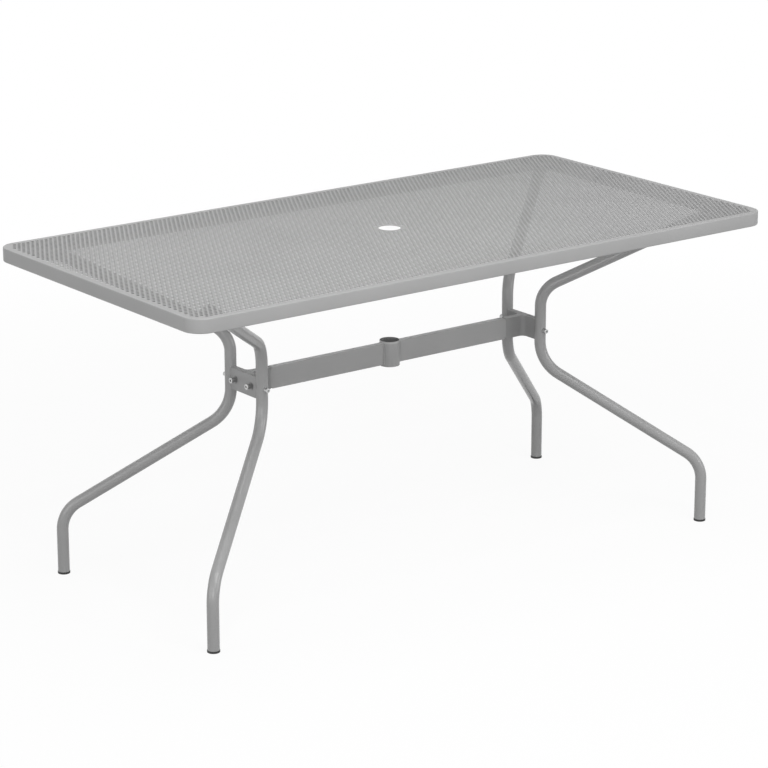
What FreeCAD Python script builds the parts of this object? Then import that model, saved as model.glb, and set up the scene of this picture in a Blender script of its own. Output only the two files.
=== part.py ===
import FreeCAD, Part
import math
import os

# Rectangular garden table of perforated steel with four bent tube legs.
# Millimetres. X runs along the table, Y across it, Z up. The origin is on the floor under the middle.

# Table top
TOP_LENGTH = 1600.0
TOP_WIDTH = 800.0
TOP_HEIGHT = 770.0
TOP_CORNER_RADIUS = 44.0
UMBRELLA_HOLE_RADIUS = 26.0
SHEET = 1.5

# Openings in the top sheet: a coarse grid that stands for the fine perforation of the real one
OPENINGS_ALONG = 12
OPENINGS_ACROSS = 6
OPENING_BAR = 46.0
PLAIN_BORDER = 20.0
PLAIN_RING = 8.2

# Rim round the top: skirt, lip beside the panel, ledge under it and return flange below
RIM_HEIGHT = 32.2
RIM_BEND_RADIUS = 2.5
LIP_WIDTH = 6.0
LEDGE_WIDTH = 4.5
FLANGE_WIDTH = 31.0
PANEL_GAP = 0.2

# Leg tubes, each bent in one upright plane from its waist to the table's corner
TUBE_RADIUS = 13.5
TUBE_WALL = 1.5
WAIST_INSET = 397.8
WAIST_Y = 61.3
WAIST_ABOVE_BAR = 99.0
WAIST_BELOW_BAR = 80.5
WAIST_HIGH_RADIUS = 65.0
WAIST_LOW_RADIUS = 97.0
FOOT_BEND_HEIGHT = 148.0
FOOT_BEND_RADIUS = 79.0
FOOT_BACK = 94.3
ARM_SLOPE = 0.478
ARM_BEND_RADIUS = 65.0
ARM_END_INSET_X = 20.1
ARM_END_INSET_Y = 34.1
ARM_LIFT = 0.5

# Foot glides
GLIDE_THICKNESS = 5.0
GLIDE_OVERHANG = 0.8
GLIDE_ROUNDING = 1.0
GLIDE_PLUG_HEIGHT = 15.0

# Flat stretcher bar and the umbrella tube in its middle
BAR_HEIGHT = 51.4
BAR_THICKNESS = 16.0
BAR_WALL = 1.5
BAR_DROP = 295.4
BAR_END_ROUNDING = 8.0
HOLDER_RADIUS = 23.6
HOLDER_WALL = 1.6
HOLDER_HEIGHT = 60.0

# End brackets between the two legs of a pair
BRACKET_DEPTH = 16.0
BRACKET_HEIGHT = 50.0
STEM_REACH = 61.2
BRACKET_CORNER_RADIUS = 12.0
COVER_THICKNESS = 2.0
TONGUE_LENGTH = 40.0

# Fasteners
BOLT_RADIUS = 3.0
HEAD_CHAMFER = 0.6
SOCKET_FLATS = 5.0
SOCKET_DEPTH = 4.0
LEG_BOLT_HEAD_RADIUS = 5.3
LEG_BOLT_HEAD_HEIGHT = 10.3
LEG_BOLT_END_Y = 39.0
BRACKET_BOLT_Y = 30.8
BRACKET_BOLT_HEAD_LENGTH = 14.0
BRACKET_BOLT_NECK_RADIUS = 5.4
BRACKET_BOLT_RING_RADIUS = 6.5
BRACKET_BOLT_RING_THICKNESS = 3.0
BRACKET_BOLT_GRIP = 11.0
TOP_BOLT_RADIUS = 3.0
TOP_BOLT_FLATS = 10.0
TOP_BOLT_HEAD_HEIGHT = 4.0
TOP_BOLT_LENGTH = 12.0
TOP_BOLT_INSET = 7.0

# Clearances
FIT_GAP = 0.3
HOLE_GAP = 0.2

# Places that follow from the sizes above
BAR_MIDDLE_HEIGHT = TOP_HEIGHT - BAR_DROP
WAIST_X = TOP_LENGTH / 2 - WAIST_INSET
BAR_END_X = WAIST_X - STEM_REACH
ARM_END_X = TOP_LENGTH / 2 - ARM_END_INSET_X
ARM_END_Y = TOP_WIDTH / 2 - ARM_END_INSET_Y
LEG_PLANE_ANGLE = math.atan2(ARM_END_Y - WAIST_Y, ARM_END_X - WAIST_X)
ARM_REACH = math.hypot(ARM_END_Y - WAIST_Y, ARM_END_X - WAIST_X)

Vector = FreeCAD.Vector
UP = Vector(0, 0, 1)


def rounded_wire(corners, place, closed=False):
    """A wire through flat corners (u, v, radius), each rounded by its radius and placed in space."""
    points = [Vector(u, v, 0) for u, v, radius in corners]
    count = len(points)
    starts = []
    ends = []
    middles = []
    for index, (u, v, radius) in enumerate(corners):
        here = points[index]
        inner = closed or 0 < index < count - 1
        if not inner or radius == 0:
            starts.append(here)
            ends.append(here)
            middles.append(None)
            continue
        back = (points[index - 1] - here).normalize()
        ahead = (points[(index + 1) % count] - here).normalize()
        half = back.getAngle(ahead) / 2
        reach = radius / math.tan(half)
        bisector = (back + ahead).normalize()
        starts.append(here + back * reach)
        ends.append(here + ahead * reach)
        middles.append(here + bisector * (radius / math.sin(half) - radius))
    edges = []
    for index in range(count):
        if middles[index] is not None:
            arc = Part.Arc(place(starts[index]), place(middles[index]), place(ends[index]))
            edges.append(arc.toShape())
        if closed or index < count - 1:
            following = starts[(index + 1) % count]
            if ends[index].distanceToPoint(following) > 1e-6:
                edges.append(Part.makeLine(place(ends[index]), place(following)))
    return Part.Wire(edges)


def top_outline(inset, height):
    """The table's outline, drawn in by the inset, starting in the middle of the right end."""
    x = TOP_LENGTH / 2 - inset
    y = TOP_WIDTH / 2 - inset
    radius = TOP_CORNER_RADIUS - inset
    corners = [(x, 0, 0), (x, y, radius), (-x, y, radius), (-x, -y, radius), (x, -y, radius)]
    return rounded_wire(corners, lambda point: Vector(point.x, point.y, height), closed=True)


def make_panel():
    """Top sheet, inside the rim's lip, with its grid of openings and the umbrella hole."""
    outline = top_outline(LIP_WIDTH + PANEL_GAP, TOP_HEIGHT - SHEET)
    panel = Part.Face(outline).extrude(UP * SHEET)
    under = TOP_HEIGHT - 2 * SHEET
    plain_disc = Part.makeCylinder(UMBRELLA_HOLE_RADIUS + PLAIN_RING, 3 * SHEET, Vector(0, 0, under))
    openings = panel_openings(under).cut(plain_disc)
    hole = Part.makeCylinder(UMBRELLA_HOLE_RADIUS, 3 * SHEET, Vector(0, 0, under))
    return panel.cut([openings, hole])


def panel_openings(under):
    """The blocks that cut the openings, in equal steps between the plain borders."""
    edge = LIP_WIDTH + PANEL_GAP + PLAIN_BORDER
    step_x = (TOP_LENGTH - 2 * edge + OPENING_BAR) / OPENINGS_ALONG
    step_y = (TOP_WIDTH - 2 * edge + OPENING_BAR) / OPENINGS_ACROSS
    blocks = []
    for column in range(OPENINGS_ALONG):
        for row in range(OPENINGS_ACROSS):
            corner = Vector(edge - TOP_LENGTH / 2 + column * step_x, edge - TOP_WIDTH / 2 + row * step_y, under)
            blocks.append(Part.makeBox(step_x - OPENING_BAR, step_y - OPENING_BAR, 3 * SHEET, corner))
    return Part.makeCompound(blocks)


def flange_top():
    """Height of the upper side of the rim's return flange."""
    return TOP_HEIGHT - RIM_HEIGHT + SHEET


def make_rim():
    """Folded rim, one section swept round the top's outline, with the holes for the arm bolts."""
    top = TOP_HEIGHT
    bottom = TOP_HEIGHT - RIM_HEIGHT
    step = LIP_WIDTH - SHEET
    ledge_end = LIP_WIDTH + LEDGE_WIDTH
    inside_radius = RIM_BEND_RADIUS - SHEET
    section = [
        (0, bottom, RIM_BEND_RADIUS),
        (0, top, RIM_BEND_RADIUS),
        (LIP_WIDTH, top, 0),
        (LIP_WIDTH, top - SHEET, 0),
        (ledge_end, top - SHEET, 0),
        (ledge_end, top - 2 * SHEET, 0),
        (step, top - 2 * SHEET, 0),
        (step, top - SHEET, 0),
        (SHEET, top - SHEET, inside_radius),
        (SHEET, bottom + SHEET, inside_radius),
        (FLANGE_WIDTH, bottom + SHEET, 0),
        (FLANGE_WIDTH, bottom, 0),
    ]
    profile = rounded_wire(section, lambda point: Vector(TOP_LENGTH / 2 - point.x, 0, point.y), closed=True)
    rim = top_outline(0, bottom).makePipeShell([profile], True, True)
    holes = [
        Part.makeCylinder(TOP_BOLT_RADIUS + HOLE_GAP, 3 * SHEET, spot - UP * (2 * SHEET))
        for spot in arm_bolt_spots()
    ]
    return rim.cut(Part.makeCompound(holes))


def leg_point(side_x, side_y, reach, height):
    """A point in a leg's plane, at a distance outward from its waist and at a height."""
    x = WAIST_X + reach * math.cos(LEG_PLANE_ANGLE)
    y = WAIST_Y + reach * math.sin(LEG_PLANE_ANGLE)
    return Vector(side_x * x, side_y * y, height)


def arm_bolt_spots():
    """The four points on the flange's upper side where the arm bolts come through."""
    return [
        leg_point(side_x, side_y, ARM_REACH - TOP_BOLT_INSET, flange_top())
        for side_x in (-1, 1)
        for side_y in (-1, 1)
    ]


def leg_corners():
    """Centre line of a leg as corners (reach, height, radius), from the glide to the arm's end."""
    arm_height = flange_top() + ARM_LIFT + TUBE_RADIUS
    waist_high = BAR_MIDDLE_HEIGHT + WAIST_ABOVE_BAR
    waist_low = BAR_MIDDLE_HEIGHT - WAIST_BELOW_BAR
    arm_bend_reach = (arm_height - waist_high) / ARM_SLOPE
    foot_reach = ARM_REACH - FOOT_BACK
    return [
        (foot_reach, GLIDE_THICKNESS, 0),
        (foot_reach, FOOT_BEND_HEIGHT, FOOT_BEND_RADIUS),
        (0, waist_low, WAIST_LOW_RADIUS),
        (0, waist_high, WAIST_HIGH_RADIUS),
        (arm_bend_reach, arm_height, ARM_BEND_RADIUS),
        (ARM_REACH, arm_height, 0),
    ]


def swept_round(path, radius):
    """A round rod of the given radius along a path that starts straight up."""
    start = path.OrderedVertexes[0].Point
    ring = Part.Wire(Part.makeCircle(radius, start, UP))
    return path.makePipeShell([ring], True, True)


def make_leg(side_x, side_y):
    """One bent leg tube with the cross hole for its bolt and the hole for the arm bolt."""
    path = rounded_wire(leg_corners(), lambda point: leg_point(side_x, side_y, point.x, point.y))
    tube = swept_round(path, TUBE_RADIUS).cut(swept_round(path, TUBE_RADIUS - TUBE_WALL))
    waist = Vector(side_x * WAIST_X, side_y * WAIST_Y, BAR_MIDDLE_HEIGHT)
    across = Vector(0, 2 * TUBE_RADIUS, 0)
    cross_hole = Part.makeCylinder(BOLT_RADIUS + HOLE_GAP, 4 * TUBE_RADIUS, waist - across, Vector(0, 1, 0))
    spot = leg_point(side_x, side_y, ARM_REACH - TOP_BOLT_INSET, flange_top())
    arm_hole = Part.makeCylinder(TOP_BOLT_RADIUS + HOLE_GAP, TUBE_RADIUS, spot)
    return tube.cut(cross_hole).cut(arm_hole)


def make_glide(side_x, side_y):
    """Foot glide: a disc under the tube's end with a plug inside the tube."""
    foot = leg_point(side_x, side_y, ARM_REACH - FOOT_BACK, 0)
    disc = Part.makeCylinder(TUBE_RADIUS + GLIDE_OVERHANG, GLIDE_THICKNESS, foot)
    rims = [edge for edge in disc.Edges if edge.Length > TUBE_RADIUS and len(edge.Vertexes) == 1]
    disc = disc.makeFillet(GLIDE_ROUNDING, rims)
    plug_radius = TUBE_RADIUS - TUBE_WALL - FIT_GAP
    plug = Part.makeCylinder(plug_radius, GLIDE_PLUG_HEIGHT, foot + UP * GLIDE_THICKNESS)
    return disc.fuse(plug).removeSplitter()


def bar_block(side, start, end, thickness, height):
    """An upright block on the bar's centre line between two distances from the middle."""
    low_x = start if side > 0 else -end
    corner = Vector(low_x, -thickness / 2, BAR_MIDDLE_HEIGHT - height / 2)
    return Part.makeBox(end - start, thickness, height, corner)


def make_stretcher(side):
    """Half of the stretcher: flat tube from the umbrella tube to the bracket, its outer corners rounded."""
    bar = bar_block(side, 0, BAR_END_X, BAR_THICKNESS, BAR_HEIGHT)
    end_x = side * BAR_END_X
    outer_corners = [
        edge for edge in bar.Edges
        if abs(edge.CenterOfMass.x - end_x) < 0.01 and abs(edge.CenterOfMass.y) < 0.01
    ]
    bar = bar.makeFillet(BAR_END_ROUNDING, outer_corners)
    hollow = bar_block(side, 0, BAR_END_X, BAR_THICKNESS - 2 * BAR_WALL, BAR_HEIGHT - 2 * BAR_WALL)
    holder = Part.makeCylinder(
        HOLDER_RADIUS + FIT_GAP, 2 * HOLDER_HEIGHT, Vector(0, 0, BAR_MIDDLE_HEIGHT - HOLDER_HEIGHT)
    )
    return bar.cut(hollow).cut(holder)


def make_holder():
    """Umbrella tube in the middle of the stretcher, open at both ends."""
    base = Vector(0, 0, BAR_MIDDLE_HEIGHT - HOLDER_HEIGHT / 2)
    outer = Part.makeCylinder(HOLDER_RADIUS, HOLDER_HEIGHT, base)
    return outer.cut(Part.makeCylinder(HOLDER_RADIUS - HOLDER_WALL, HOLDER_HEIGHT, base))


def bracket_inner_x():
    """Distance from the middle to the bracket's inward face."""
    return WAIST_X - BRACKET_DEPTH / 2


def bracket_outer_x():
    """Distance from the middle to the cover's outward face."""
    return WAIST_X + BRACKET_DEPTH / 2


def tube_cutter(side_x, side_y):
    """Upright rod with the leg tube's radius and the gap round it, at a waist."""
    base = Vector(side_x * WAIST_X, side_y * WAIST_Y, BAR_MIDDLE_HEIGHT - BRACKET_HEIGHT)
    return Part.makeCylinder(TUBE_RADIUS + FIT_GAP, 2 * BRACKET_HEIGHT, base)


def oriented(shape, position, direction):
    """The shape moved from the origin to a position with its Z axis along a direction."""
    placed = shape.copy()
    placed.Placement = FreeCAD.Placement(position, FreeCAD.Rotation(UP, direction))
    return placed


def bracket_bolt_seat(side_x, side_y):
    """Centre of a bracket bolt's head on the cover's outward face."""
    return Vector(side_x * bracket_outer_x(), side_y * BRACKET_BOLT_Y, BAR_MIDDLE_HEIGHT)


def bracket_bolt_hole(side_x, side_y):
    """The blind hole for a bracket bolt, from outside the cover into the bracket."""
    length = BRACKET_BOLT_GRIP + 1.0
    seat = bracket_bolt_seat(side_x, side_y)
    return Part.makeCylinder(BOLT_RADIUS + HOLE_GAP, length, seat, Vector(-side_x, 0, 0))


def make_bracket(side):
    """Bracket between two legs: cross bar fitted to the tubes, stem to the stretcher and hidden tongue."""
    low = BAR_MIDDLE_HEIGHT - BRACKET_HEIGHT / 2
    inner = bracket_inner_x()
    back = bracket_outer_x() - COVER_THICKNESS
    half_bar = BAR_THICKNESS / 2
    corner = BRACKET_CORNER_RADIUS
    outline = [
        (BAR_END_X, -half_bar, 0),
        (inner, -half_bar, corner),
        (inner, -WAIST_Y, 0),
        (back, -WAIST_Y, 0),
        (back, WAIST_Y, 0),
        (inner, WAIST_Y, 0),
        (inner, half_bar, corner),
        (BAR_END_X, half_bar, 0),
    ]
    wire = rounded_wire(outline, lambda point: Vector(side * point.x, point.y, low), closed=True)
    bracket = Part.Face(wire).extrude(UP * BRACKET_HEIGHT)
    tongue = bar_block(
        side,
        BAR_END_X - TONGUE_LENGTH,
        BAR_END_X + 1.0,
        BAR_THICKNESS - 2 * BAR_WALL - 2 * FIT_GAP,
        BAR_HEIGHT - 2 * BAR_WALL - 2 * FIT_GAP,
    )
    bracket = bracket.fuse(tongue)
    for side_y in (-1, 1):
        bracket = bracket.cut(tube_cutter(side, side_y))
        bolt_start = Vector(side * WAIST_X, side_y * (LEG_BOLT_END_Y - 1.0), BAR_MIDDLE_HEIGHT)
        bolt_hole = Part.makeCylinder(BOLT_RADIUS + HOLE_GAP, WAIST_Y, bolt_start, Vector(0, side_y, 0))
        bracket = bracket.cut(bolt_hole).cut(bracket_bolt_hole(side, side_y))
    return bracket.removeSplitter()


def make_cover(side):
    """Flat plate on the bracket's outward face, held by the two bracket bolts."""
    plate_edge = TUBE_RADIUS + FIT_GAP
    inset = BRACKET_DEPTH / 2 - COVER_THICKNESS
    half_width = WAIST_Y - math.sqrt(plate_edge ** 2 - inset ** 2)
    low_x = bracket_outer_x() - COVER_THICKNESS if side > 0 else -bracket_outer_x()
    corner = Vector(low_x, -half_width, BAR_MIDDLE_HEIGHT - BRACKET_HEIGHT / 2)
    plate = Part.makeBox(COVER_THICKNESS, 2 * half_width, BRACKET_HEIGHT, corner)
    for side_y in (-1, 1):
        plate = plate.cut(bracket_bolt_hole(side, side_y))
    return plate


def hexagonal_block(flats, height):
    """Hexagonal block standing on the XY plane."""
    corner_radius = flats / math.sqrt(3)
    points = []
    for step in range(7):
        angle = math.radians(60 * step)
        points.append(Vector(corner_radius * math.cos(angle), corner_radius * math.sin(angle), 0))
    return Part.Face(Part.makePolygon(points)).extrude(UP * height)


def hexagon_head(flats, height):
    """Hexagonal head with its six upper corners trimmed by a cone."""
    top_radius = flats / 2 * 0.95
    cone = Part.makeCone(top_radius + flats * math.sqrt(3), top_radius, flats)
    return hexagonal_block(flats, height).common(cone.translated(UP * (height - flats)))


def hex_bolt(radius, flats, head_height, length):
    """Hex bolt with its head above the XY plane and its shank below."""
    shank = Part.makeCylinder(radius, length, Vector(0, 0, -length))
    return hexagon_head(flats, head_height).fuse(shank).removeSplitter()


def chamfered_cylinder(radius, height):
    """Upright cylinder with a chamfer round its top."""
    body = Part.makeCylinder(radius, height)
    top_edge = [edge for edge in body.Edges if edge.CenterOfMass.z > height - 0.01]
    return body.makeChamfer(HEAD_CHAMFER, top_edge)


def with_key_socket(body, height):
    """The body with a hexagonal key socket sunk into its top at a height."""
    socket = hexagonal_block(SOCKET_FLATS, SOCKET_DEPTH)
    return body.cut(socket.translated(UP * (height - SOCKET_DEPTH)))


def make_leg_bolts():
    """Four socket-head bolts through the leg tubes into the brackets."""
    seat = WAIST_Y + TUBE_RADIUS + FIT_GAP
    length = seat - LEG_BOLT_END_Y
    head = chamfered_cylinder(LEG_BOLT_HEAD_RADIUS, LEG_BOLT_HEAD_HEIGHT)
    shank = Part.makeCylinder(BOLT_RADIUS, length, Vector(0, 0, -length))
    bolt = with_key_socket(head, LEG_BOLT_HEAD_HEIGHT).fuse(shank).removeSplitter()
    return [
        oriented(bolt, Vector(side_x * WAIST_X, side_y * seat, BAR_MIDDLE_HEIGHT), Vector(0, side_y, 0))
        for side_x in (-1, 1)
        for side_y in (-1, 1)
    ]


def make_bracket_bolts():
    """Four bolts with a long neck and a ring at the head's end, through the covers into the brackets."""
    ring = chamfered_cylinder(BRACKET_BOLT_RING_RADIUS, BRACKET_BOLT_RING_THICKNESS)
    neck = Part.makeCylinder(BRACKET_BOLT_NECK_RADIUS, BRACKET_BOLT_HEAD_LENGTH)
    head = neck.fuse(ring.translated(UP * (BRACKET_BOLT_HEAD_LENGTH - BRACKET_BOLT_RING_THICKNESS)))
    shank = Part.makeCylinder(BOLT_RADIUS, BRACKET_BOLT_GRIP, Vector(0, 0, -BRACKET_BOLT_GRIP))
    bolt = with_key_socket(head, BRACKET_BOLT_HEAD_LENGTH).fuse(shank).removeSplitter()
    return [
        oriented(bolt, bracket_bolt_seat(side_x, side_y), Vector(side_x, 0, 0))
        for side_x in (-1, 1)
        for side_y in (-1, 1)
    ]


def make_top_bolts():
    """Four bolts from below through the rim's flange into the arm ends."""
    bolt = hex_bolt(TOP_BOLT_RADIUS, TOP_BOLT_FLATS, TOP_BOLT_HEAD_HEIGHT, TOP_BOLT_LENGTH)
    return [oriented(bolt, spot - UP * SHEET, -UP) for spot in arm_bolt_spots()]


def build():
    """All parts of the table by node name."""
    nodes = {
        "mesh_panel": make_panel(),
        "top_rim": make_rim(),
        "umbrella_holder": make_holder(),
        "leg_bolts": Part.makeCompound(make_leg_bolts()),
        "bracket_bolts": Part.makeCompound(make_bracket_bolts()),
        "top_bolts": Part.makeCompound(make_top_bolts()),
    }
    for side_x, end in ((-1, "left"), (1, "right")):
        nodes["end_bracket_" + end] = make_bracket(side_x)
        nodes["bracket_cover_" + end] = make_cover(side_x)
        nodes["stretcher_" + end] = make_stretcher(side_x)
        for side_y, face in ((-1, "front"), (1, "back")):
            nodes["leg_" + face + "_" + end] = make_leg(side_x, side_y)
            nodes["glide_" + face + "_" + end] = make_glide(side_x, side_y)
    return nodes


os.makedirs("parts", exist_ok=True)
for name, shape in build().items():
    shape.exportStep("parts/" + name + ".step")
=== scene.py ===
import math

import bmesh
import bpy
from mathutils import Matrix, Vector


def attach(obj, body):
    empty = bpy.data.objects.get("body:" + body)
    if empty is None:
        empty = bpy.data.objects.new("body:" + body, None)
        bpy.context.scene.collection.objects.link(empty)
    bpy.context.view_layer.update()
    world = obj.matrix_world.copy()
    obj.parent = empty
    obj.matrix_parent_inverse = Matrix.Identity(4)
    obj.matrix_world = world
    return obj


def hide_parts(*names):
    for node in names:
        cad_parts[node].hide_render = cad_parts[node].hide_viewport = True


# Grey garden table: perforated steel top in a folded rim, four bent tube legs that meet at a waist,
# a flat stretcher with an umbrella tube. Metres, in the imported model's frame. A piece that comes in
# twos is made at the right, one that comes in fours at the right back, and the others are mirrored.

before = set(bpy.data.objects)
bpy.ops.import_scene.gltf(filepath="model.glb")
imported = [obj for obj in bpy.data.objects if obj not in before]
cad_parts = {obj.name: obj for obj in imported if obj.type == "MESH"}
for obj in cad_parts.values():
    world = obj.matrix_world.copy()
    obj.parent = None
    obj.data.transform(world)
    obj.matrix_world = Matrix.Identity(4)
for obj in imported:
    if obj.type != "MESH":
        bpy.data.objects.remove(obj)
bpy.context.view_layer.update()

MM = 0.001
UP = Vector((0, 0, 1))

# Table top
TOP_LENGTH = 1600 * MM
TOP_WIDTH = 800 * MM
TOP_HEIGHT = 770 * MM
TOP_CORNER = 44 * MM
CORNER_STEPS = 18
SHEET = 1.5 * MM
SHEET_CORNER_STEPS = 14
LIP = 6 * MM  # width of the rim's edge that shows beside the sheet
LEDGE = 4.5 * MM  # what the sheet rests on
FLANGE = 31 * MM  # reach inwards of the rim's lower flange
RIM_HEIGHT = 32.2 * MM
RIM_BEND = 2.5 * MM
RIM_BEND_STEPS = 5
PANEL_GAP = 0.2 * MM
UMBRELLA_HOLE = 26 * MM  # radius
UMBRELLA_HOLE_SIDES = 72

# Perforation: staggered rows along the table, each hole in the middle of its own oblong cell
HOLE_PITCH = 11.7 * MM
ROW_PITCH = 10.13 * MM
HOLE_RADIUS = 4.2 * MM
HOLE_SIDES = 12
HOLES_IN_ROW = 134
ROW_PAIRS = 38
ROWS_LEFT = -(HOLES_IN_ROW + 0.5) / 2 * HOLE_PITCH  # where every second row begins
PLAIN_BORDER = 14 * MM  # no hole comes nearer to the outline in a rounded corner
PLAIN_RING = 8.2 * MM  # no hole's middle comes nearer to the umbrella hole
NEAR_MIDDLE = 100 * MM  # open cell edges within this belong to the umbrella hole
SHEET_SEAMS = (22, 45, 67, 90, 112)  # columns of holes at which the sheet is split into tiles

# Legs: the foot stands nearer to the waist than the arm's end, in one upright plane with both
TUBE_RADIUS = 13.5 * MM
TUBE_WALL = 1.5 * MM
TUBE_SIDES = 40
WAIST = Vector((402.2 * MM, 61.3 * MM, 0))
ARM_END = Vector((779.9 * MM, 365.9 * MM, 0))
ARM_RUN = ARM_END - WAIST
FOOT_BACK = 94.3 * MM
FOOT_REACH = ARM_RUN.length - FOOT_BACK
LEG_BENDS = ((148, 79), (394.1, 97), (573.6, 65), (753.3, 65))  # height, bend radius, in millimetres
ARM_SLOPE = 0.478  # rise over run
BEND_STEP = 4.5  # degrees of a bend between two rings

# Glides
GLIDE_HEIGHT = 5 * MM
GLIDE_RADIUS = 14.3 * MM
GLIDE_EDGE = 0.7 * MM
SOLE_RING = 3.2 * MM
SOLE_SLOPE = 0.5 * MM
SOLE_HOLLOW = 0.8 * MM
PLUG_LENGTH = 12 * MM
PLUG_TIP = 3 * MM
PLUG_TAPER = 0.88

# Stretcher and umbrella tube
BAR_Z = 474.6 * MM
BAR_HEIGHT = 51.4 * MM
BAR_DEPTH = 16 * MM
BAR_START = 10 * MM  # inside the umbrella tube, and cut back to it
BAR_END = 341 * MM
BAR_WALL = 1.5 * MM
BAR_END_ROUND = 8 * MM
BAR_EDGE = 2 * MM
HOLDER_RADIUS = 23.6 * MM
HOLDER_WALL = 1.6 * MM
HOLDER_HEIGHT = 60 * MM
HOLDER_LIP = 0.45 * MM
FIT_GAP = 0.3 * MM
CUTTER_REACH = 50 * MM  # up and down from the bar's middle
CUTTER_SIDES = 64

# End brackets and cover plates
BRACKET_HEIGHT = 50 * MM
BRACKET_IN = 394.2 * MM
BRACKET_CORNER = 12 * MM
BRACKET_EDGE = 0.9 * MM
TONGUE_STEP = 1 * MM
TONGUE_LENGTH = 40 * MM
COVER_IN = 408.2 * MM
COVER_OUT = 410.2 * MM
COVER_EDGE = 0.4 * MM

# Welds beside the umbrella tube
WELD_RADIUS = 1.9 * MM
WELD_OUT = 0.8 * MM  # from the corner, along the bar
WELD_BESIDE = 0.3 * MM  # from the bar's face
WELD_SHORT = 1 * MM  # of the bar's edges, above and below
WELD_RIPPLES = 22
WELD_SWELL = 1.14

# Bolts
SHANK_RADIUS = 3 * MM
SOCKET_RADIUS = 2.89 * MM
SOCKET_DEPTH = 4 * MM
HEAD_SIDES = 48
HEAD_EDGE = 0.6 * MM
SHARP = 1.0  # radians between two faces
LEG_BOLT_HEAD_RADIUS = 5.3 * MM
LEG_BOLT_HEAD_HEIGHT = 10.3 * MM
LEG_BOLT_SHANK = 36 * MM
KNURL_SHARE = 0.97  # of the head's radius, at the bottom of a groove
BRACKET_BOLT_Y = 30.8 * MM
BRACKET_BOLT_HEAD = 14 * MM
BRACKET_BOLT_NECK = 5.4 * MM
BRACKET_BOLT_RING = 6.5 * MM
BRACKET_BOLT_SHANK = 11 * MM
RING_THICKNESS = 3 * MM
NECK_END = COVER_OUT + BRACKET_BOLT_HEAD - RING_THICKNESS
TOP_BOLT_BACK = 7 * MM  # from the arm's end
TOP_BOLT_RADIUS = 5.77 * MM
TOP_BOLT_HEAD = 4 * MM
TOP_BOLT_FACE = 4.75 * MM  # radius of the flat face inside the chamfer
TOP_BOLT_CHAMFER = 13.4 * MM  # radius of the chamfer's cone, a millimetre above the head
TOP_BOLT_SHOULDER = 2 * MM
TOP_BOLT_SHANK = 12 * MM


# Modelling steps

SAME_PLACE = 1e-6
SMOOTH_BELOW = math.radians(40)


def start(name, add, **settings):
    """Adds a primitive with its place in its mesh, names it, and opens it with nothing selected."""
    if bpy.context.mode != "OBJECT":
        bpy.ops.object.mode_set(mode="OBJECT")
    bpy.ops.object.select_all(action="DESELECT")
    add(**settings)
    piece = bpy.context.object
    piece.name = piece.data.name = name
    bpy.ops.object.transform_apply(location=True, rotation=True, scale=True)
    bpy.ops.object.mode_set(mode="EDIT")
    bpy.ops.mesh.select_mode(type="VERT")
    bpy.ops.mesh.select_all(action="DESELECT")
    return piece


def centre_of(item):
    """Middle of a vertex, edge or face."""
    if isinstance(item, bmesh.types.BMVert):
        return item.co
    if isinstance(item, bmesh.types.BMEdge):
        return (item.verts[0].co + item.verts[1].co) / 2
    return item.calc_center_median()


def near(a, b):
    """Whether two points are the same place."""
    return (a - b).length < SAME_PLACE


def pick(kind, test):
    """Selects only those vertices, edges or faces of the open piece that pass the test."""
    bpy.ops.mesh.select_mode(type=kind)
    bpy.ops.mesh.select_all(action="DESELECT")
    mesh = bmesh.from_edit_mesh(bpy.context.object.data)
    items = {"VERT": mesh.verts, "EDGE": mesh.edges, "FACE": mesh.faces}[kind]
    for item in items:
        if test(item):
            item.select_set(True)
    mesh.select_flush(True)
    bmesh.update_edit_mesh(bpy.context.object.data)


def pick_all(kind):
    """Selects everything of the open piece, as vertices, edges or faces."""
    bpy.ops.mesh.select_mode(type=kind)
    bpy.ops.mesh.select_all(action="SELECT")


def extrude(step):
    """Extrudes what is selected by a vector."""
    bpy.ops.mesh.extrude_region_move(TRANSFORM_OT_translate={"value": tuple(step)})


def turn(centre, axis, angle, steps):
    """Sweeps the selected outline round an axis, right-handed."""
    bpy.ops.mesh.spin(steps=steps, angle=-angle, center=tuple(centre), axis=tuple(axis))


def scale_about(centre, factors):
    """Scales what is selected about a point."""
    bpy.ops.transform.resize(value=tuple(factors), center_override=tuple(centre))


def draw(name, points):
    """Opens a new piece that is a closed outline of straight lines through the points."""
    piece = start(name, bpy.ops.mesh.primitive_plane_add, size=MM, location=points[0])
    bpy.ops.mesh.select_all(action="SELECT")
    bpy.ops.mesh.merge(type="CENTER")
    for before, after in zip(points, points[1:]):
        extrude(Vector(after) - Vector(before))
    first, last = Vector(points[0]), Vector(points[-1])
    pick("VERT", lambda v: near(v.co, first) or near(v.co, last))
    bpy.ops.mesh.edge_face_add()
    return piece


def round_corners(places, radius, steps):
    """Rounds the outline's corners at the given places."""
    pick("VERT", lambda v: any(near(v.co, Vector(place)) for place in places))
    bpy.ops.mesh.bevel(offset=radius, affect="VERTICES", segments=steps, offset_type="OFFSET")


def fill_and_raise(step):
    """Fills the open outline and extrudes it into a solid."""
    pick_all("EDGE")
    bpy.ops.mesh.edge_face_add()
    pick_all("FACE")
    extrude(step)


def tidy_shell():
    """Merges doubles and turns all faces of the open piece outwards."""
    bpy.ops.mesh.select_all(action="SELECT")
    bpy.ops.mesh.remove_doubles(threshold=1e-5)
    bpy.ops.mesh.normals_make_consistent(inside=False)


def close(piece):
    """Leaves edit mode with the piece alone selected and active."""
    if bpy.context.mode != "OBJECT":
        bpy.ops.object.mode_set(mode="OBJECT")
    bpy.ops.object.select_all(action="DESELECT")
    piece.select_set(True)
    bpy.context.view_layer.objects.active = piece


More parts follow.
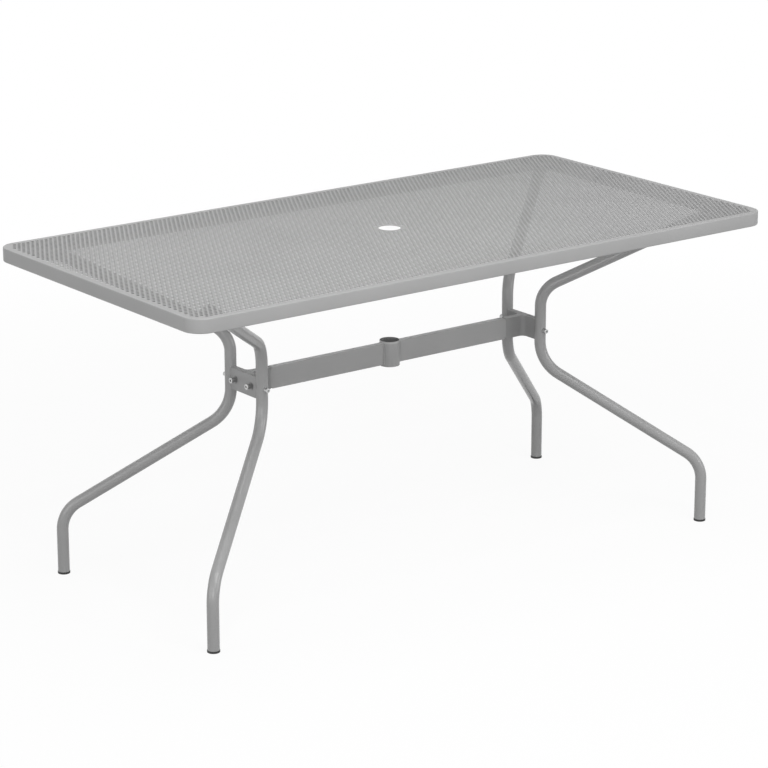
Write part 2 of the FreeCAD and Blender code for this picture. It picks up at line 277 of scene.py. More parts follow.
def modify(piece, kind, **settings):
    """Closes a piece, adds a modifier and applies it."""
    close(piece)
    modifier = piece.modifiers.new(kind.title(), kind)
    for name, value in settings.items():
        setattr(modifier, name, value)
    bpy.ops.object.modifier_apply(modifier=modifier.name)


def thicken(piece, wall):
    """Gives an open tube or sheet its wall, inwards."""
    modify(piece, "SOLIDIFY", thickness=wall, offset=-1, use_even_offset=True)


def cut(piece, tool, operation="DIFFERENCE"):
    """Cuts a piece with another, which is used up."""
    modify(piece, "BOOLEAN", operation=operation, object=tool, solver="EXACT")
    bpy.data.objects.remove(tool)


def soften(piece, width, steps=2, limit=35):
    """Rounds the edges of a piece that are sharper than a limit in degrees."""
    modify(piece, "BEVEL", width=width, segments=steps, limit_method="ANGLE",
           angle_limit=math.radians(limit), miter_outer="MITER_ARC", use_clamp_overlap=True)


def dress(piece, finish, slot, *nodes):
    """Shades a finished piece, gives it its material, and lets it stand for its CAD nodes."""
    close(piece)
    bpy.ops.object.shade_smooth_by_angle(angle=SMOOTH_BELOW)
    piece.data.materials.clear()
    piece.data.materials.append(finish)
    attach(piece, "root")
    if nodes:
        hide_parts(*nodes)


def copy_of(piece, name, matrix):
    """A copy with its own mesh, moved by a matrix that may mirror it."""
    twin = piece.copy()
    twin.data = piece.data.copy()
    twin.name = twin.data.name = name
    bpy.context.scene.collection.objects.link(twin)
    twin.data.transform(matrix)
    if matrix.determinant() < 0:
        twin.data.flip_normals()
    return twin


def rod(name, radius, start_at, direction, length, sides=32, tip=None):
    """A plain round cutting tool from a point along a direction; a tip radius makes it a cone."""
    direction = Vector(direction).normalized()
    middle = Vector(start_at) + direction * length / 2
    turned = direction.to_track_quat("Z", "Y").to_euler()
    piece = start(name, bpy.ops.mesh.primitive_cone_add, vertices=sides, radius1=radius,
                  radius2=radius if tip is None else tip, depth=length, location=middle, rotation=turned)
    close(piece)
    return piece


def cope(piece, x, y, radius):
    """Cuts a round upright channel through a piece at the stretcher's height, for a tube to lie in."""
    foot = (x, y, BAR_Z - CUTTER_REACH)
    cut(piece, rod("cope", radius + FIT_GAP, foot, UP, 2 * CUTTER_REACH, sides=CUTTER_SIDES))


# Finishes

CLOUD_DARK = 0.965
CLOUD_PALE = 1.03
SPECK_PALE = 1.35
SPECK_SHARE = 0.35
# Painted light: top faces are made paler by this much, as if lit from above
PAINTED_TOP_LIGHT = 0.13
PAINTED_TOP_LIGHT_FADE = 0.6 * MM
# Painted shade: the inside of the umbrella tube is made darker by this share
PAINTED_INSIDE_SHADE = 0.55
INSIDE_SHADE_FADE = 0.4 * MM
COAT_UNEVEN = 0.12
ZINC_DULL = (0.46, 0.465, 0.47, 1)
ZINC_BRIGHT = (0.6, 0.6, 0.59, 1)
# Over this the painted shade on the bracket bolts' necks fades in
NECK_SHADE_FADE = 0.5 * MM
DUST_LOW = 0.2 * MM
DUST_HIGH = 1.6 * MM


class Signal:
    """One value among the nodes, with Python's arithmetic."""

    def __init__(self, nodes, socket):
        self.nodes = nodes
        self.socket = socket

    def combine(self, operation, first, second):
        """A Math node on two signals or numbers."""
        return self.nodes.add("ShaderNodeMath", {"operation": operation}, {0: first, 1: second})

    def __add__(self, other):
        return self.combine("ADD", self, other)

    def __sub__(self, other):
        return self.combine("SUBTRACT", self, other)

    def __mul__(self, other):
        return self.combine("MULTIPLY", self, other)

    def __rsub__(self, other):
        return self.combine("SUBTRACT", other, self)

    __radd__ = __add__
    __rmul__ = __mul__

    def between(self, low, high):
        """0 below low, 1 above high, and a straight ramp from one to the other."""
        return self.nodes.add("ShaderNodeMapRange", {"clamp": True},
                              {"Value": self, "From Min": low, "From Max": high})


class Nodes:
    """The nodes of a material or of the world; add() makes any node from its type, settings and inputs."""

    def __init__(self, owner):
        owner.use_nodes = True
        self.owner = owner
        self.tree = owner.node_tree
        self.tree.nodes.clear()

    def add(self, kind, settings, inputs, output=0):
        """Makes a node; its inputs are values or signals. Gives one of its outputs, if it has any."""
        node = self.tree.nodes.new(kind)
        for name, value in settings.items():
            setattr(node, name, value)
        for name, value in inputs.items():
            if isinstance(value, Signal):
                self.tree.links.new(value.socket, node.inputs[name])
            else:
                node.inputs[name].default_value = value
        if node.outputs:
            return Signal(self, node.outputs[output])

    def place(self):
        """Where a point of the surface lies, in the piece's own coordinates."""
        return self.add("ShaderNodeTexCoord", {}, {}, "Object")

    def along(self, axis):
        """One coordinate of that place: X, Y or Z."""
        return self.add("ShaderNodeSeparateXYZ", {}, {"Vector": self.place()}, axis)

    def length(self, vector):
        """How long a vector is."""
        return self.add("ShaderNodeVectorMath", {"operation": "LENGTH"}, {0: vector}, "Value")

    def noise(self, scale, detail, stretch=(1, 1, 1)):
        """Noise in object space, with scale in bumps to the metre."""
        placed = self.add("ShaderNodeMapping", {}, {"Vector": self.place(), "Scale": stretch})
        return self.add("ShaderNodeTexNoise", {}, {"Vector": placed, "Scale": scale, "Detail": detail})

    def ray(self, kind):
        """1 for light that is traced for one kind of ray, such as Camera, and 0 for any other."""
        return self.add("ShaderNodeLightPath", {}, {}, f"Is {kind} Ray")

    def blend(self, factor, first, second):
        """Mix of two colours."""
        return self.add("ShaderNodeMix", {"data_type": "RGBA"}, {"Factor": factor, 6: first, 7: second}, 2)

    def bump(self, height, distance):
        """A normal that follows a height, of so many metres from 0 to 1."""
        return self.add("ShaderNodeBump", {}, {"Height": height, "Distance": distance, "Strength": 1.0})

    def surface(self, inputs):
        """Ends the nodes in a Principled surface and gives the material."""
        shader = self.add("ShaderNodeBsdfPrincipled", {}, inputs)
        self.add("ShaderNodeOutputMaterial", {}, {"Surface": shader})
        return self.owner


def grey(value):
    """A neutral colour."""
    return (value, value, value, 1.0)


def powder_coat(name, tone, roughness, grain, painted_light_above=None, painted_shade_within=None):
    """Grey powder coat: a little uneven in tone, with the fine orange-peel skin of the cured powder.

    It is painted paler above one height, a painted light on top faces, and painted darker within a radius
    of the table's middle axis, a painted shade inside the umbrella tube.
    """
    coat = Nodes(bpy.data.materials.new(name))
    cloud = coat.noise(scale=7, detail=3)
    peel = coat.noise(scale=620, detail=2)
    speck = coat.noise(scale=2100, detail=1)
    colour = coat.blend(cloud.between(0.3, 0.7), grey(tone * CLOUD_DARK), grey(tone * CLOUD_PALE))
    colour = coat.blend(speck.between(0.62, 0.8) * SPECK_SHARE, colour, grey(tone * SPECK_PALE))
    # Painted light: the coat is paler above a height, so that top faces look lit from above
    if painted_light_above is not None:
        painted_light_mask = coat.along("Z").between(painted_light_above - PAINTED_TOP_LIGHT_FADE, painted_light_above)
        colour = coat.blend(painted_light_mask, colour, grey(tone + PAINTED_TOP_LIGHT))
    # Painted shade: the coat is darker within a radius of the middle axis, inside the umbrella tube
    if painted_shade_within is not None:
        flat = coat.add("ShaderNodeVectorMath", {"operation": "MULTIPLY"}, {0: coat.place(), 1: (1, 1, 0)})
        outside_shade = coat.length(flat).between(painted_shade_within - INSIDE_SHADE_FADE, painted_shade_within)
        colour = coat.blend(outside_shade, grey(tone * PAINTED_INSIDE_SHADE), colour)
    return coat.surface({
        "Base Color": colour,
        "Roughness": roughness + (peel - 0.5) * COAT_UNEVEN,
        "Normal": coat.bump(peel * 0.7 + speck * 0.3, grain),
    })


def zinc_plate(name):
    """Bright zinc on turned steel: fine marks, duller patches, and painted shade on the bracket bolts'
    necks.
    """
    zinc = Nodes(bpy.data.materials.new(name))
    marks = zinc.noise(scale=1500, detail=2, stretch=(0.25, 1, 1))
    patch = zinc.noise(scale=160, detail=3)
    plate = zinc.blend(patch.between(0.35, 0.7), ZINC_DULL, ZINC_BRIGHT)
    outward = zinc.add("ShaderNodeMath", {"operation": "ABSOLUTE"}, {0: zinc.along("X")})
    past_cover = outward.between(COVER_OUT - NECK_SHADE_FADE, COVER_OUT)
    past_neck = outward.between(NECK_END - NECK_SHADE_FADE, NECK_END)
    # Painted shade: the necks between the cover and the ring are made dark grey and rougher
    painted_neck_shade = past_cover * (1.0 - past_neck)
    return zinc.surface({
        "Base Color": zinc.blend(painted_neck_shade, plate, grey(0.3)),
        "Metallic": 1.0,
        "Roughness": 0.3 + patch.between(0.3, 0.8) * 0.14 + painted_neck_shade * 0.2,
        "Normal": zinc.bump(marks, 0.03 * MM),
    })


def moulded_black(name):
    """Black moulded plastic with a fine grain, greyer with dust near the floor."""
    plastic = Nodes(bpy.data.materials.new(name))
    grain = plastic.noise(scale=1300, detail=2)
    patch = plastic.noise(scale=260, detail=2)
    dust = (1.0 - plastic.along("Z").between(DUST_LOW, DUST_HIGH)) * patch.between(0.4, 0.7)
    return plastic.surface({
        "Base Color": plastic.blend(dust * 0.5, grey(0.018), grey(0.09)),
        "Roughness": 0.46 + grain * 0.16,
        "Normal": plastic.bump(grain, 0.04 * MM),
    })


coat_sheet = powder_coat("coat_sheet", tone=0.375, roughness=0.5, grain=0.03 * MM)
coat_rim = powder_coat("coat_rim", tone=0.40, roughness=0.48, grain=0.04 * MM)
coat_tube = powder_coat("coat_tube", tone=0.37, roughness=0.26, grain=0.04 * MM)
# coat_bar has painted light on its top faces and painted shade inside the umbrella tube
coat_bar = powder_coat("coat_bar", tone=0.375, roughness=0.46, grain=0.05 * MM,
                       painted_light_above=BAR_Z + BAR_HEIGHT / 2, painted_shade_within=HOLDER_RADIUS - HOLDER_WALL / 2)
# Brackets' coat: rougher cast finish; its darker tone is painted shade for the walls under the top, and
# its top faces have painted light
coat_cast_painted_shade = powder_coat("coat_cast_painted_shade", tone=0.315, roughness=0.68, grain=0.09 * MM,
                        painted_light_above=BAR_Z + BRACKET_HEIGHT / 2)
zinc_steel = zinc_plate("zinc_steel")
black_plastic = moulded_black("black_plastic")


# Perforated top sheet

def cell_of(point):
    """Centre of the perforation cell that holds a point of the sheet."""
    row = math.floor((point.y + ROW_PAIRS * ROW_PITCH) / ROW_PITCH)
    left = ROWS_LEFT + (row % 2) * HOLE_PITCH / 2
    column = math.floor((point.x - left) / HOLE_PITCH)
    return Vector((left + (column + 0.5) * HOLE_PITCH, (row + 0.5 - ROW_PAIRS) * ROW_PITCH, TOP_HEIGHT))


def left_out(cell):
    """Whether a cell is left plain, for the umbrella hole or a rounded corner."""
    if cell.xy.length < UMBRELLA_HOLE + PLAIN_RING:
        return True
    past = Vector((abs(cell.x) - TOP_LENGTH / 2 + TOP_CORNER, abs(cell.y) - TOP_WIDTH / 2 + TOP_CORNER))
    return past.x > 0 and past.y > 0 and past.length > TOP_CORNER - PLAIN_BORDER - HOLE_RADIUS


def holed_cell(centre):
    """Opens a skin of one cell: an oblong with twelve points, bridged to the round hole in its middle."""
    skin = start("sheet", bpy.ops.mesh.primitive_grid_add, x_subdivisions=4, y_subdivisions=2, size=1,
                 location=centre)
    bpy.ops.mesh.select_all(action="SELECT")
    scale_about(centre, (HOLE_PITCH, ROW_PITCH, 1))
    pick("VERT", lambda v: abs(v.co.y - centre.y) < MM and abs(v.co.x - centre.x) < HOLE_PITCH * 0.4)
    bpy.ops.mesh.delete(type="VERT")
    bpy.ops.mesh.primitive_circle_add(vertices=HOLE_SIDES, radius=HOLE_RADIUS, location=centre)
    pick_all("EDGE")
    bpy.ops.mesh.bridge_edge_loops()
    return skin


def perforated_sheet():
    """The flat top skin of the whole sheet: two staggered cells, repeated, and the plain parts filled."""
    sheet = holed_cell(cell_of(Vector((-(HOLES_IN_ROW / 2) * HOLE_PITCH, (0.5 - ROW_PAIRS) * ROW_PITCH))))
    bpy.ops.mesh.select_all(action="SELECT")
    bpy.ops.mesh.duplicate_move(TRANSFORM_OT_translate={"value": (HOLE_PITCH / 2, ROW_PITCH, 0)})
    for count, step in ((HOLES_IN_ROW, (HOLE_PITCH, 0, 0)), (ROW_PAIRS, (0, 2 * ROW_PITCH, 0))):
        modify(sheet, "ARRAY", count=count, use_relative_offset=False, use_constant_offset=True,
               constant_offset_displace=step)
    bpy.ops.object.mode_set(mode="EDIT")
    tidy_shell()
    pick("FACE", lambda f: left_out(cell_of(centre_of(f))))
    bpy.ops.mesh.delete(type="FACE")
    add_ring()
    add_border()
    tidy_shell()
    pick("FACE", lambda f: f.normal.z < 0)
    bpy.ops.mesh.flip_normals()
    close(sheet)
    return sheet


def cell_edge(edge):
    """Whether an edge is an open one along the cells' outer lines, not round a hole."""
    middle = centre_of(edge)
    return edge.is_boundary and (middle.xy - cell_of(middle).xy).length > (HOLE_RADIUS + ROW_PITCH / 2) / 2


def side_point(vertex):
    """Whether a vertex lies in the middle of an upright open line of the cells."""
    ends = [edge.other_vert(vertex) for edge in vertex.link_edges if cell_edge(edge)]
    return len(ends) == 2 and all(abs(end.co.x - vertex.co.x) < 0.01 * MM for end in ends)


def add_ring():
    """Fills the plain ring between the umbrella hole and the cells round it."""
    bpy.ops.mesh.primitive_circle_add(vertices=UMBRELLA_HOLE_SIDES, radius=UMBRELLA_HOLE,
                                      location=(0, 0, TOP_HEIGHT))
    pick("EDGE", lambda e: e.is_wire or cell_edge(e) and centre_of(e).xy.length < NEAR_MIDDLE)
    bpy.ops.mesh.fill(use_beauty=True)


def add_border():
    """Fills the plain strip between the outermost cells and the sheet's rounded outline."""
    inset = LIP + PANEL_GAP
    pick("VERT", side_point)
    bpy.ops.mesh.dissolve_verts()
    bpy.ops.mesh.primitive_plane_add(size=1, location=(0, 0, TOP_HEIGHT))
    scale_about((0, 0, TOP_HEIGHT), (TOP_LENGTH - 2 * inset, TOP_WIDTH - 2 * inset, 1))
    bpy.ops.mesh.bevel(offset=TOP_CORNER - inset, affect="VERTICES", segments=SHEET_CORNER_STEPS)
    bpy.ops.mesh.delete(type="ONLY_FACE")
    pick("EDGE", lambda e: e.is_wire or cell_edge(e) and centre_of(e).xy.length > NEAR_MIDDLE)
    bpy.ops.mesh.fill(use_beauty=True)


def sheet_tiles(sheet):
    """Splits the skin along lines of holes into tiles of a handy size, and gives each its thickness."""
    lines = [ROWS_LEFT + column * HOLE_PITCH for column in SHEET_SEAMS]
    for number, (low, high) in enumerate(zip([None] + lines, lines + [None]), 1):
        tile = copy_of(sheet, f"mesh_panel_{number}", Matrix.Identity(4))
        close(tile)
        bpy.ops.object.mode_set(mode="EDIT")
        for limit, side in ((low, "clear_inner"), (high, "clear_outer")):
            if limit is not None:
                bpy.ops.mesh.select_all(action="SELECT")
                bpy.ops.mesh.bisect(plane_co=(limit, 0, 0), plane_no=(1, 0, 0), threshold=SAME_PLACE,
                                    **{side: True})
        modify(tile, "SOLIDIFY", thickness=SHEET, offset=-1)
        dress(tile, coat_sheet, "grey_coat", "mesh_panel")
    bpy.data.objects.remove(sheet)


sheet_tiles(perforated_sheet())


# Rim

def folded_rim():
    """Rim: its folded section, drawn at the right end and swept round the top's rounded outline."""
    edge = TOP_LENGTH / 2
    low = TOP_HEIGHT - RIM_HEIGHT
    top = TOP_HEIGHT
    section = [
        (0, low), (0, top), (LIP, top), (LIP, top - SHEET), (LIP + LEDGE, top - SHEET),
        (LIP + LEDGE, top - 2 * SHEET), (LIP - SHEET, top - 2 * SHEET), (LIP - SHEET, top - SHEET),
        (SHEET, top - SHEET), (SHEET, low + SHEET), (FLANGE, low + SHEET), (FLANGE, low),
    ]
    points = [Vector((edge - inward, 0, height)) for inward, height in section]
    rim = draw("top_rim_folded", points)
    round_corners(points[0:2], RIM_BEND, RIM_BEND_STEPS)
    round_corners(points[8:10], RIM_BEND - SHEET, RIM_BEND_STEPS - 1)
    pick_all("EDGE")
    x = edge - TOP_CORNER
    y = TOP_WIDTH / 2 - TOP_CORNER
    for step, corner in (((0, y, 0), (x, y)), ((-2 * x, 0, 0), (-x, y)), ((0, -2 * y, 0), (-x, -y)),
                         ((2 * x, 0, 0), (x, -y))):
        extrude(step)
        turn((*corner, 0), UP, math.pi / 2, CORNER_STEPS)
    extrude((0, y, 0))
    tidy_shell()
    close(rim)
    return rim


dress(folded_rim(), coat_rim, "grey_coat", "top_rim")


# Legs and glides

def leg_tube():
    """The right back leg: a ring swept along straight runs and bends, then given its wall."""
    outward = ARM_RUN.normalized()
    heights = [height * MM for height, radius in LEG_BENDS]
    radii = [radius * MM for height, radius in LEG_BENDS]
    reaches = [FOOT_REACH, 0, 0, (heights[3] - heights[2]) / ARM_SLOPE]
    corners = [WAIST + outward * reach + UP * height for reach, height in zip(reaches, heights)]
    begin = WAIST + outward * FOOT_REACH + UP * GLIDE_HEIGHT
    end = WAIST + outward * ARM_RUN.length + UP * heights[3]
    leg = start("leg_tube", bpy.ops.mesh.primitive_circle_add, vertices=TUBE_SIDES, radius=TUBE_RADIUS,
                location=begin)
    pick_all("EDGE")
    here = begin
    for corner, after, radius in zip(corners, corners[1:] + [end], radii):
        ahead = (corner - here).normalized()
        turned = (after - corner).normalized()
        angle = ahead.angle(turned)
        reach = radius * math.tan(angle / 2)
        axis = ahead.cross(turned).normalized()
        extrude(corner - ahead * reach - here)
        centre = corner - ahead * reach + axis.cross(ahead) * radius
        turn(centre, axis, angle, max(4, round(math.degrees(angle) / BEND_STEP)))
        here = corner + turned * reach
    extrude(end - here)
    tidy_shell()
    thicken(leg, TUBE_WALL)
    return leg


def foot_glide():
    """The right back glide: a rounded disc with a hollow sole, and a tapered plug for the tube."""
    foot = WAIST + ARM_RUN.normalized() * FOOT_REACH
    glide = start("foot_glide", bpy.ops.mesh.primitive_circle_add, vertices=HEAD_SIDES,
                  radius=GLIDE_RADIUS, fill_type="NGON", location=foot)
    bpy.ops.mesh.select_all(action="SELECT")
    bpy.ops.mesh.inset(thickness=SOLE_RING)
    bpy.ops.mesh.inset(thickness=SOLE_SLOPE, depth=SOLE_HOLLOW)
    pick("EDGE", lambda e: e.is_boundary)
    extrude((0, 0, GLIDE_HEIGHT))
    plug = (TUBE_RADIUS - TUBE_WALL - FIT_GAP) / GLIDE_RADIUS
    extrude((0, 0, 0))
    scale_about(foot, (plug, plug, 1))
    extrude((0, 0, PLUG_LENGTH))
    extrude((0, 0, PLUG_TIP))
    scale_about(foot, (PLUG_TAPER, PLUG_TAPER, 1))
    bpy.ops.mesh.edge_face_add()
    tidy_shell()
    soften(glide, GLIDE_EDGE, steps=3, limit=50)
    return glide


MIRRORED_CORNERS = {"front_left": (-1, -1), "front_right": (1, -1), "back_left": (-1, 1)}


def four_corners(piece, finish, slot, stem, node_stem=None, nodes=()):
    """Dresses a piece made at the right back, and its mirrored copies at the other three corners."""
    piece.name = piece.data.name = stem + "_back_right"
    twins = {"back_right": piece}
    for corner, (x, y) in MIRRORED_CORNERS.items():
        twins[corner] = copy_of(piece, f"{stem}_{corner}", Matrix.Diagonal((x, y, 1, 1)))
    for corner, twin in twins.items():
        stood_for = [f"{node_stem}_{corner}"] if node_stem else nodes
        dress(twin, finish, slot, *stood_for)


four_corners(leg_tube(), coat_tube, "grey_coat", "leg_tube", node_stem="leg")
four_corners(foot_glide(), black_plastic, "black_plastic", "foot_glide", node_stem="glide")


# Bolts

def key_socket(piece, at, direction):
    """Cuts a hexagonal key socket into a head whose outer face is at a point."""
    cut(piece, rod("key", SOCKET_RADIUS, at + direction * MM, -direction, SOCKET_DEPTH + MM, sides=6))


def leg_bolt():
    """Socket-head bolt through the right back leg, with a knurled head."""
    seat = WAIST + Vector((0, TUBE_RADIUS + FIT_GAP, BAR_Z))
    out = Vector((0, 1, 0))
    bolt = start("leg_bolt", bpy.ops.mesh.primitive_cylinder_add, vertices=HEAD_SIDES,
                 radius=LEG_BOLT_HEAD_RADIUS, depth=LEG_BOLT_HEAD_HEIGHT,
                 location=seat + out * LEG_BOLT_HEAD_HEIGHT / 2, rotation=(math.pi / 2, 0, 0))
    pick("EDGE", lambda e: e.calc_face_angle(0) > SHARP and centre_of(e).y > seat.y + MM)
    bpy.ops.mesh.bevel(offset=HEAD_EDGE, segments=3, affect="EDGES")
    pick("EDGE", lambda e: knurl_line(e, seat))
    scale_about(seat, (KNURL_SHARE, 1, KNURL_SHARE))
    pick("FACE", lambda f: f.normal.y < -0.9)
    bpy.ops.mesh.inset(thickness=LEG_BOLT_HEAD_RADIUS - SHANK_RADIUS)
    extrude(-out * LEG_BOLT_SHANK)
    close(bolt)
    key_socket(bolt, seat + out * LEG_BOLT_HEAD_HEIGHT, out)
    return bolt


def knurl_line(edge, seat):
    """Whether an edge is one of every second long edge of the leg bolt's head."""
    along = edge.verts[0].co - edge.verts[1].co
    if abs(along.y) < 3 * MM:
        return False
    spot = centre_of(edge) - seat
    return round(math.atan2(spot.z, spot.x) / (2 * math.pi / HEAD_SIDES)) % 2 == 0


def bracket_bolt():
    """Bolt on the right cover: long neck, a ring with a key socket at its end, shank into the bracket."""
    seat = Vector((COVER_OUT, BRACKET_BOLT_Y, BAR_Z))
    out = Vector((1, 0, 0))
    neck_length = BRACKET_BOLT_HEAD - RING_THICKNESS
    bolt = start("bracket_bolt", bpy.ops.mesh.primitive_cylinder_add, vertices=HEAD_SIDES,
                 radius=BRACKET_BOLT_RING, depth=RING_THICKNESS,
                 location=seat + out * (neck_length + RING_THICKNESS / 2), rotation=(0, math.pi / 2, 0))
    pick("EDGE", lambda e: e.calc_face_angle(0) > SHARP)
    bpy.ops.mesh.bevel(offset=HEAD_EDGE, segments=3, affect="EDGES")
    pick("FACE", lambda f: f.normal.x < -0.9)
    bpy.ops.mesh.inset(thickness=BRACKET_BOLT_RING - HEAD_EDGE - BRACKET_BOLT_NECK)
    extrude(-out * neck_length)
    bpy.ops.mesh.inset(thickness=BRACKET_BOLT_NECK - SHANK_RADIUS)
    extrude(-out * BRACKET_BOLT_SHANK)
    close(bolt)
    key_socket(bolt, seat + out * BRACKET_BOLT_HEAD, out)
    return bolt


def top_bolt():
    """Hexagon bolt under the right back corner of the flange, with the head's chamfer cut by a cone."""
    spot = ARM_END - ARM_RUN.normalized() * TOP_BOLT_BACK + UP * (TOP_HEIGHT - RIM_HEIGHT)
    bolt = start("top_bolt", bpy.ops.mesh.primitive_cylinder_add, vertices=6, radius=TOP_BOLT_RADIUS,
                 depth=TOP_BOLT_HEAD, location=spot - UP * TOP_BOLT_HEAD / 2)
    close(bolt)
    cone = rod("cone", TOP_BOLT_FACE, spot - UP * TOP_BOLT_HEAD, UP, TOP_BOLT_HEAD + MM,
               tip=TOP_BOLT_CHAMFER)
    cut(bolt, cone, "INTERSECT")
    bpy.ops.object.mode_set(mode="EDIT")
    pick("FACE", lambda f: f.normal.z > 0.9)
    bpy.ops.mesh.inset(thickness=TOP_BOLT_SHOULDER)
    extrude(UP * TOP_BOLT_SHANK)
    close(bolt)
    return bolt


four_corners(leg_bolt(), zinc_steel, "zinc_steel", "leg_bolt", nodes=("leg_bolts",))
four_corners(bracket_bolt(), zinc_steel, "zinc_steel", "bracket_bolt", nodes=("bracket_bolts",))
four_corners(top_bolt(), zinc_steel, "zinc_steel", "top_bolt", nodes=("top_bolts",))


# Pieces at the waist

def stretcher_half():
    """Right half of the stretcher: flat tube with rounded outer corners, fitted to the umbrella tube."""
    half = Vector((0, BAR_DEPTH / 2, BAR_HEIGHT / 2))
    middle = Vector((BAR_START, 0, BAR_Z))
    signs = ((-1, -1), (1, -1), (1, 1), (-1, 1))
    corners = [middle + Vector((0, y * half.y, z * half.z)) for y, z in signs]
    bar = draw("stretcher_tube", corners)
    round_corners(corners, BAR_EDGE, steps=4)
    pick_all("EDGE")
    extrude((BAR_END - middle.x, 0, 0))
    tidy_shell()
    thicken(bar, BAR_WALL)
    low = corners[0].z
    high = corners[2].z
    side = [Vector((x, -BAR_DEPTH, z)) for x, z in ((0, low), (BAR_END, low), (BAR_END, high), (0, high))]
    blank = draw("blank", side)
    round_corners(side[1:3], BAR_END_ROUND, steps=8)
    fill_and_raise((0, 2 * BAR_DEPTH, 0))
    tidy_shell()
    close(blank)
    cut(bar, blank, "INTERSECT")
    cope(bar, 0, 0, HOLDER_RADIUS)
    return bar


def umbrella_tube():
    """Short open tube in the middle of the stretcher, with eased lips."""
    tube = start("umbrella_tube", bpy.ops.mesh.primitive_circle_add, vertices=CUTTER_SIDES,
                 radius=HOLDER_RADIUS, location=(0, 0, BAR_Z - HOLDER_HEIGHT / 2))
    pick_all("EDGE")
    extrude((0, 0, HOLDER_HEIGHT))
    tidy_shell()
    thicken(tube, HOLDER_WALL)
    soften(tube, HOLDER_LIP, steps=3, limit=50)
    return tube


def weld_bead():
    """Painted weld up the corner between the umbrella tube and the right bar, with its ripples."""
    reach = math.sqrt(HOLDER_RADIUS ** 2 - (BAR_DEPTH / 2) ** 2)
    foot = Vector((reach + WELD_OUT, BAR_DEPTH / 2 + WELD_BESIDE, BAR_Z - BAR_HEIGHT / 2 + WELD_SHORT))
    bead = start("weld_bead", bpy.ops.mesh.primitive_circle_add, vertices=10, radius=WELD_RADIUS,
                 fill_type="NGON", location=foot)
    bpy.ops.mesh.select_all(action="SELECT")
    rise = (BAR_HEIGHT - 2 * WELD_SHORT) / (2 * WELD_RIPPLES)
    for factor in (WELD_SWELL, 1 / WELD_SWELL) * WELD_RIPPLES:
        extrude((0, 0, rise))
        scale_about(foot, (factor, factor, 1))
    tidy_shell()
    close(bead)
    return bead


def end_bracket():
    """Right bracket: cross bar between the leg tubes, stem to the stretcher, tongue inside it."""
    low = BAR_Z - BRACKET_HEIGHT / 2
    half = BAR_DEPTH / 2
    outline = [(BAR_END, -half), (BRACKET_IN, -half), (BRACKET_IN, -WAIST.y), (COVER_IN, -WAIST.y),
               (COVER_IN, WAIST.y), (BRACKET_IN, WAIST.y), (BRACKET_IN, half), (BAR_END, half)]
    points = [Vector((x, y, low)) for x, y in outline]
    bracket = draw("bracket_body", points)
    round_corners([points[1], points[6]], BRACKET_CORNER, steps=10)
    fill_and_raise((0, 0, BRACKET_HEIGHT))
    tidy_shell()
    close(bracket)
    for side in (-1, 1):
        cope(bracket, WAIST.x, side * WAIST.y, TUBE_RADIUS)
    soften(bracket, BRACKET_EDGE, steps=3)
    bpy.ops.object.mode_set(mode="EDIT")
    pick("FACE", lambda f: f.normal.x < -0.99 and abs(centre_of(f).x - BAR_END) < 0.1 * MM)
    bpy.ops.mesh.inset(thickness=TONGUE_STEP)
    extrude((-TONGUE_LENGTH, 0, 0))
    close(bracket)
    return bracket


def cover_plate():
    """Flat plate on the outside of the right bracket."""
    half_width = WAIST.y - math.sqrt((TUBE_RADIUS + FIT_GAP) ** 2 - (COVER_IN - WAIST.x) ** 2)
    low = BAR_Z - BRACKET_HEIGHT / 2
    top = low + BRACKET_HEIGHT
    corners = ((-half_width, low), (half_width, low), (half_width, top), (-half_width, top))
    plate = draw("cover_plate", [Vector((COVER_IN, y, z)) for y, z in corners])
    fill_and_raise((COVER_OUT - COVER_IN, 0, 0))
    tidy_shell()
    soften(plate, COVER_EDGE)
    return plate


def both_ends(piece, finish, stem, node_stem):
    """Dresses a piece made at the right end, and its mirrored copy at the left end."""
    piece.name = piece.data.name = stem + "_right"
    twin = copy_of(piece, stem + "_left", Matrix.Diagonal((-1, 1, 1, 1)))
    dress(piece, finish, "grey_coat", node_stem + "_right")
    dress(twin, finish, "grey_coat", node_stem + "_left")


both_ends(stretcher_half(), coat_bar, "stretcher_tube", "stretcher")
# The bracket bodies take the cast coat, whose darker tone is painted shade
both_ends(end_bracket(), coat_cast_painted_shade, "bracket_body", "end_bracket")
both_ends(cover_plate(), coat_bar, "cover_plate", "bracket_cover")
dress(umbrella_tube(), coat_bar, "grey_coat", "umbrella_holder")
four_corners(weld_bead(), coat_bar, "grey_coat", "weld_bead")


# Stage, light and camera

FLOOR_SIZE = 80
FLOOR_DROP = 0.2 * MM
FLOOR_BOUNCE = 0.4
FLOOR_TONE = 0.98
SHADOW_WHITENESS = 0.93  # share of plain white where the shadow shows
SHADOW_REACH = 1.5  # from the middle; at twice this the floor is plain white
WORLD_LEVEL = 0.18
TOP_AIM = (0, 0, 0.7)
LEGS_AIM = (0, 0, 0.6)

# Camera, found by fitting the table's outline: place in metres, angles in radians, lens in millimetres
CAMERA_PLACE = (-4.02547, -5.29596, 2.389)
CAMERA_YAW = 0.647979
CAMERA_PITCH = 0.290897
CAMERA_ROLL = -0.000625
LENS = 140.403
SENSOR = 36


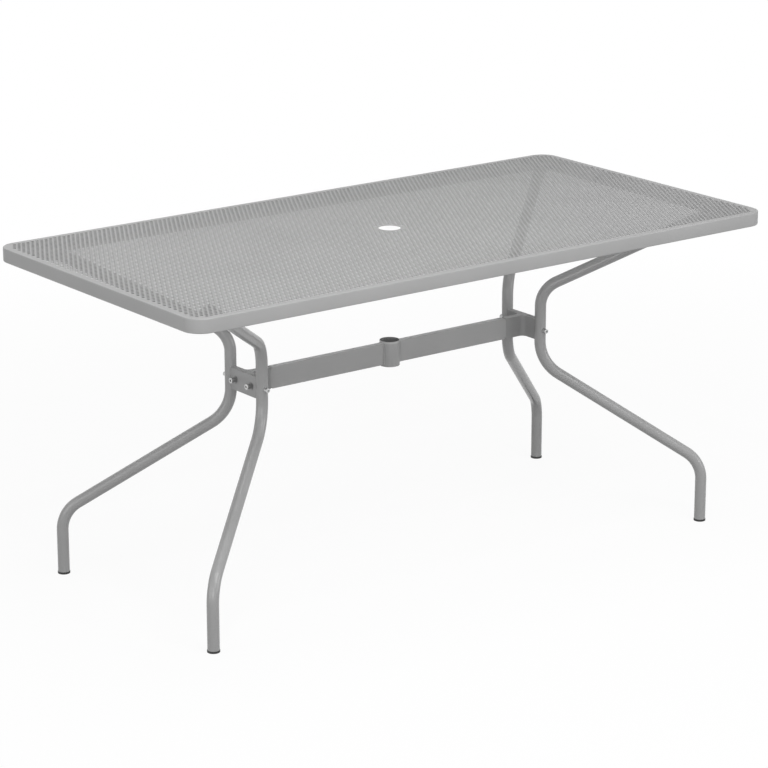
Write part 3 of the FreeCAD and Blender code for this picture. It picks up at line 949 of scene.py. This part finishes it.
def studio_floor():
    """Pale floor that the camera and shiny parts see white, with a trace of the table's shadow near it."""
    bpy.ops.mesh.primitive_plane_add(size=FLOOR_SIZE, location=(0, 0, -FLOOR_DROP))
    floor = bpy.context.object
    floor.name = "floor"
    paint = Nodes(bpy.data.materials.new("floor_white"))
    seen = paint.ray("Camera")
    mirrored = paint.ray("Glossy") + paint.ray("Transmission")
    away = paint.length(paint.place()).between(SHADOW_REACH, 2 * SHADOW_REACH)
    whiteness = SHADOW_WHITENESS + away * (1 - SHADOW_WHITENESS)
    tone = paint.blend(seen, grey(FLOOR_BOUNCE), grey(FLOOR_TONE))
    diffuse = paint.add("ShaderNodeBsdfDiffuse", {}, {"Color": tone})
    glow = paint.add("ShaderNodeEmission", {}, {"Color": grey(1.0), "Strength": 1.0})
    mixed = paint.add("ShaderNodeMixShader", {}, {0: seen * whiteness + mirrored, 1: diffuse, 2: glow})
    paint.add("ShaderNodeOutputMaterial", {}, {"Surface": mixed})
    floor.data.materials.append(paint.owner)


def white_world():
    """Even light from all round, plain white where the camera or a shiny part sees it."""
    world = bpy.data.worlds.new("studio")
    bpy.context.scene.world = world
    sky = Nodes(world)
    white = sky.ray("Camera") + sky.ray("Glossy") + sky.ray("Transmission")
    strength = WORLD_LEVEL + white * (1 - WORLD_LEVEL)
    glow = sky.add("ShaderNodeBackground", {}, {"Color": grey(1.0), "Strength": strength})
    sky.add("ShaderNodeOutputWorld", {}, {"Surface": glow})


def soft_box(name, place, target, size, power):
    """A square area lamp aimed at a point."""
    lamp = bpy.data.lights.new(name, "AREA")
    lamp.size = size
    lamp.energy = power
    box = bpy.data.objects.new(name, lamp)
    box.location = place
    box.rotation_euler = (Vector(target) - Vector(place)).to_track_quat("-Z", "Y").to_euler()
    bpy.context.scene.collection.objects.link(box)


def photo_camera():
    """Camera at the photograph's place, with its look along the yaw, down by the pitch, then rolled."""
    level = math.cos(CAMERA_PITCH)
    look = Vector((level * math.sin(CAMERA_YAW), level * math.cos(CAMERA_YAW), -math.sin(CAMERA_PITCH)))
    right = Vector((math.cos(CAMERA_YAW), -math.sin(CAMERA_YAW), 0))
    rolled = right * math.cos(CAMERA_ROLL) + right.cross(look) * math.sin(CAMERA_ROLL)
    axes = Matrix((rolled, rolled.cross(look), -look)).transposed()
    lens = bpy.data.cameras.new("photo_camera")
    lens.sensor_width = SENSOR
    lens.lens = LENS
    lens.clip_start = 0.1
    lens.clip_end = 200
    camera = bpy.data.objects.new("photo_camera", lens)
    camera.matrix_world = Matrix.Translation(CAMERA_PLACE) @ axes.to_4x4()
    bpy.context.scene.collection.objects.link(camera)
    bpy.context.scene.camera = camera


studio_floor()
white_world()
soft_box("overhead", (0, 0, 4.5), TOP_AIM, size=1.5, power=38)
soft_box("overhead_left", (-1.5, -1.5, 4.2), TOP_AIM, size=0.4, power=22)
soft_box("high_front", (0, -3.5, 4.0), TOP_AIM, size=2.5, power=98)
soft_box("left_fill", (-5.0, 0, 1.2), LEGS_AIM, size=3.0, power=54)
soft_box("front_left_fill", (-3.5, -4.0, 1.5), LEGS_AIM, size=2.0, power=49)
soft_box("front_right_fill", (3.5, -4.0, 1.5), LEGS_AIM, size=2.0, power=47)
soft_box("back_fill", (1.0, 5.0, 1.8), LEGS_AIM, size=3.0, power=18)
photo_camera()
bpy.context.scene.view_settings.view_transform = "Standard"
